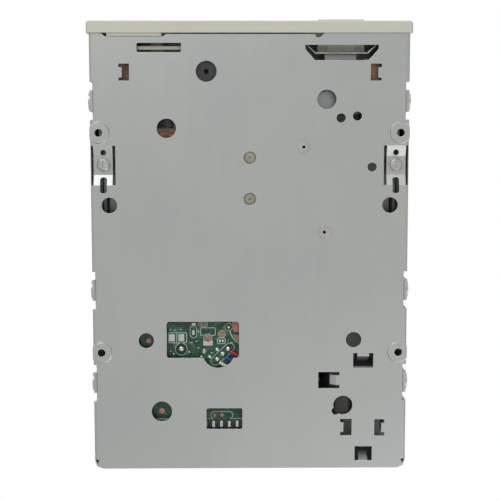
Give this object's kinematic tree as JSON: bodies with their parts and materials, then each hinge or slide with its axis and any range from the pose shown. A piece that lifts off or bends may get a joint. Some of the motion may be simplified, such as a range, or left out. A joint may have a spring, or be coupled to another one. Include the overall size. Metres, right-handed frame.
{
  "type": "internal floppy disk drive",
  "caption": "Slim internal floppy disk drive with a pressed steel pan, folded lid, moulded bezel with dust door, disk cage, head carriage and spindle.",
  "frame": {"origin": "bottom centre of the bounding box: on the plane of the bottom mounting pads", "axes": "+X to the right seen from the bezel, +Y to the rear connectors, +Z towards the lid"},
  "size_m": [0.102, 0.1436, 0.0254],
  "materials": {
    "zinc_sheet": "satin zinc-plated sheet",
    "cover_steel": "satin sheet",
    "inner_steel": "satin sheet",
    "bezel_plastic": "fine moulded grain",
    "button_plastic": "fine moulded grain",
    "door_plastic": "fine moulded grain",
    "black_plastic": "moulded",
    "ivory_plastic": "moulded",
    "carriage_plastic": "moulded",
    "brown_board": "laminate",
    "green_board": "laminate with clear mask",
    "chip_black": "moulded",
    "capacitor_can": "satin",
    "copper_wire": "enamelled",
    "contact_metal": "plated",
    "magnet_dark": "matt",
    "motor_can": "drawn",
    "motor_dark": "blackened",
    "turned_steel": "ground",
    "bearing_alloy": "sintered",
    "light_pipe_clear": "clear moulding",
    "led_green": "clear moulding",
    "head_ceramic": "lapped",
    "flex_film": "film",
    "spring_wire": "drawn wire"
  },
  "bodies": {
    "chassis": {"bottom_shell": "zinc_sheet", "top_cover": "cover_steel", "front_bezel": "bezel_plastic", "side_rail_right": "inner_steel", "side_rail_left": "inner_steel", "rail_screws": "turned_steel", "motor_board": "brown_board", "sensor_board": "brown_board", "board_posts": "turned_steel", "board_boss": "black_plastic", "bearing_housing": "bearing_alloy", "stator_core": "inner_steel", "stator_coils": "copper_wire", "main_board": "green_board", "board_spacers": "black_plastic", "board_chips": "chip_black", "board_parts": "capacitor_can", "signal_header": "black_plastic", "signal_pins": "contact_metal", "power_connector": "ivory_plastic", "power_pins": "contact_metal", "motor_flex": "flex_film", "led": "led_green", "light_pipe": "light_pipe_clear", "switch_bodies": "black_plastic", "guide_rod": "turned_steel", "rod_clamps": "black_plastic", "guide_rail": "inner_steel", "stepper_motor": "motor_dark", "motor_bracket": "inner_steel", "screw_support": "black_plastic", "button_spring": "spring_wire", "slider_springs": "spring_wire", "head_flex": "flex_film"},
    "door": {"door_flap": "door_plastic"},
    "slider": {"eject_button": "button_plastic", "slider_plate": "inner_steel", "slider_studs": "turned_steel"},
    "cage": {"disk_cage": "inner_steel", "cage_pins": "turned_steel", "lever_rivet": "turned_steel", "lever_spring": "spring_wire"},
    "lever": {"shutter_lever": "inner_steel"},
    "spindle": {"rotor_cup": "motor_can", "rotor_magnet": "magnet_dark", "spindle_shaft": "turned_steel", "hub_table": "magnet_dark", "drive_pin": "turned_steel"},
    "disk_plunger": {"plunger_disk": "ivory_plastic"},
    "protect_plunger": {"plunger_protect": "ivory_plastic"},
    "density_plunger": {"plunger_density": "ivory_plastic"},
    "carriage": {"carriage": "carriage_plastic", "lower_head": "head_ceramic", "follower_pin": "turned_steel", "arm_pivot": "turned_steel", "arm_spring": "spring_wire"},
    "head_arm": {"head_arm": "carriage_plastic", "upper_head": "head_ceramic"},
    "lead_screw": {"lead_screw": "turned_steel"}
  },
  "joints": [
    {"name": "spindle_turn", "type": "hinge", "parent": "chassis", "child": "spindle", "pos_m": [0, -0.0219, 0.006], "axis": [0, 0, 1], "continuous": true},
    {"name": "slider_slide", "type": "slide", "parent": "chassis", "child": "slider", "axis": [0, -1, 0], "range_m": [0, 0.005]},
    {"name": "cage_lift", "type": "slide", "parent": "chassis", "child": "cage", "axis": [0, 0, -1], "range_m": [0, 0.003]},
    {"name": "lever_turn", "type": "hinge", "parent": "cage", "child": "lever", "pos_m": [-0.038, 0.0148, 0.0195], "axis": [0, 0, 1], "range_deg": [0, 35]},
    {"name": "door_swing", "type": "hinge", "parent": "chassis", "child": "door", "pos_m": [0, -0.0683, 0.019], "axis": [1, 0, 0], "range_deg": [0, 80], "stiffness_Nm_per_rad": 0.0008, "springref_deg": -28.65},
    {"name": "carriage_slide", "type": "slide", "parent": "chassis", "child": "carriage", "axis": [0, -1, 0], "range_m": [0, 0.0148]},
    {"name": "screw_turn", "type": "hinge", "parent": "chassis", "child": "lead_screw", "pos_m": [0.0299, 0.0278, 0.0088], "axis": [0, 1, 0], "range_deg": [0, 1420.8]},
    {"name": "arm_turn", "type": "hinge", "parent": "carriage", "child": "head_arm", "pos_m": [0, 0.0418, 0.0152], "axis": [1, 0, 0], "range_deg": [0, 12.5]},
    {"name": "disk_plunger_press", "type": "slide", "parent": "chassis", "child": "disk_plunger", "axis": [0, 0, -1], "range_m": [0, 0.0012], "stiffness_N_per_m": 300, "springref_m": -0.001},
    {"name": "protect_plunger_press", "type": "slide", "parent": "chassis", "child": "protect_plunger", "axis": [0, 0, -1], "range_m": [0, 0.0012], "stiffness_N_per_m": 300, "springref_m": -0.001},
    {"name": "density_plunger_press", "type": "slide", "parent": "chassis", "child": "density_plunger", "axis": [0, 0, -1], "range_m": [0, 0.0012], "stiffness_N_per_m": 300, "springref_m": -0.001}
  ],
  "couplings": [
    {"joint": "cage_lift", "follows": "slider_slide", "ratio": 0.6},
    {"joint": "lever_turn", "follows": "slider_slide", "rad_per_m": 122.17},
    {"joint": "arm_turn", "follows": "slider_slide", "rad_per_m": 43.63},
    {"joint": "screw_turn", "follows": "carriage_slide", "rad_per_m": 1675.5}
  ]
}
